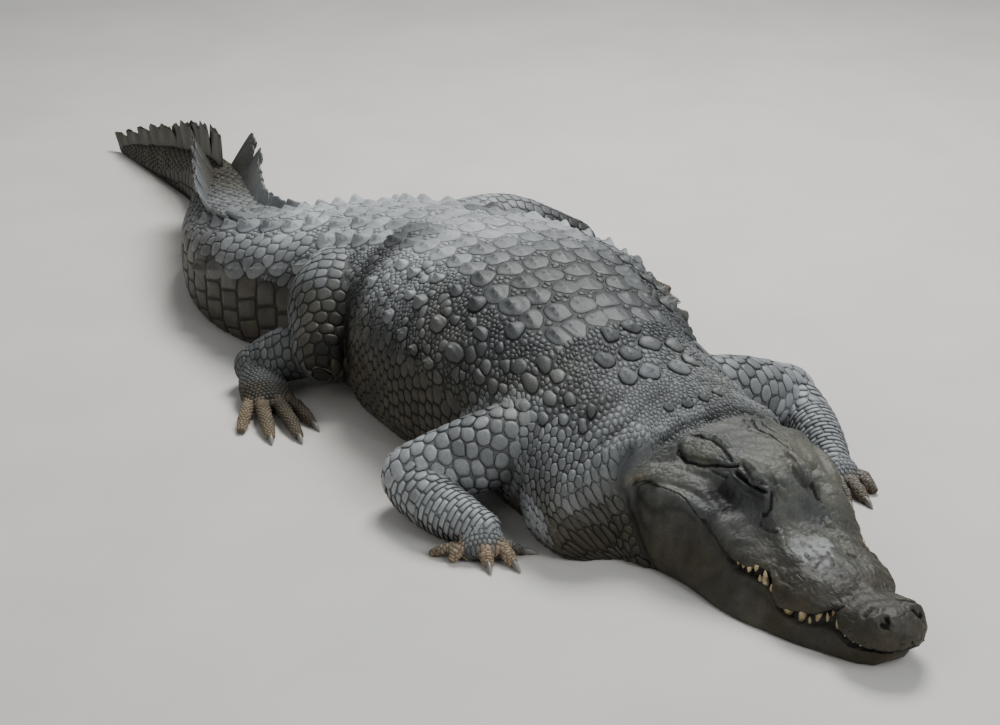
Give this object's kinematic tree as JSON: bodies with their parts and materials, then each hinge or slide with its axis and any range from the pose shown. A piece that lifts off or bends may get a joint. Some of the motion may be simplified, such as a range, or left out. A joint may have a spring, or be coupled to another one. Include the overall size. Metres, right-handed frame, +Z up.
{
  "type": "crocodile",
  "caption": "Life-size mugger crocodile resting on its belly with a closed mouth, spread legs and a tail swung to its left, as a still display model.",
  "frame": {"origin": "on the floor, under the middle of the belly, where the spine's line crosses it", "axes": "+X forwards along the body to the snout, +Y to the animal's left, +Z up from the floor"},
  "size_m": [3.2322, 1.1716, 0.35],
  "materials": {
    "skin": "scaly, dry, dark slate grey and olive brown",
    "scale": "horny keeled plates, satin, blue grey on the back and browner below",
    "eye": "wet gloss, dark with a dull gold iris",
    "claw": "horn, light grey, scratched",
    "tooth": "ivory, stained yellow towards the root"
  },
  "bodies": {
    "root": {"cranium": "skin", "ear_flap_left": "skin", "ear_flap_right": "skin", "eye_left": "eye", "eye_right": "eye", "foot_left": "skin", "foot_left_claw_1": "claw", "foot_left_claw_2": "claw", "foot_left_claw_3": "claw", "foot_right": "skin", "foot_right_claw_1": "claw", "foot_right_claw_2": "claw", "foot_right_claw_3": "claw", "forearm_left": "skin", "forearm_right": "skin", "hand_left": "skin", "hand_left_claw_1": "claw", "hand_left_claw_2": "claw", "hand_left_claw_3": "claw", "hand_right": "skin", "hand_right_claw_1": "claw", "hand_right_claw_2": "claw", "hand_right_claw_3": "claw", "lower_jaw": "skin", "neck": "skin", "shank_left": "skin", "shank_right": "skin", "tail_base": "skin", "tail_end": "skin", "tail_middle": "skin", "thigh_left": "skin", "thigh_right": "skin", "trunk": "skin", "upper_arm_left": "skin", "upper_arm_right": "skin"}
  },
  "joints": []
}
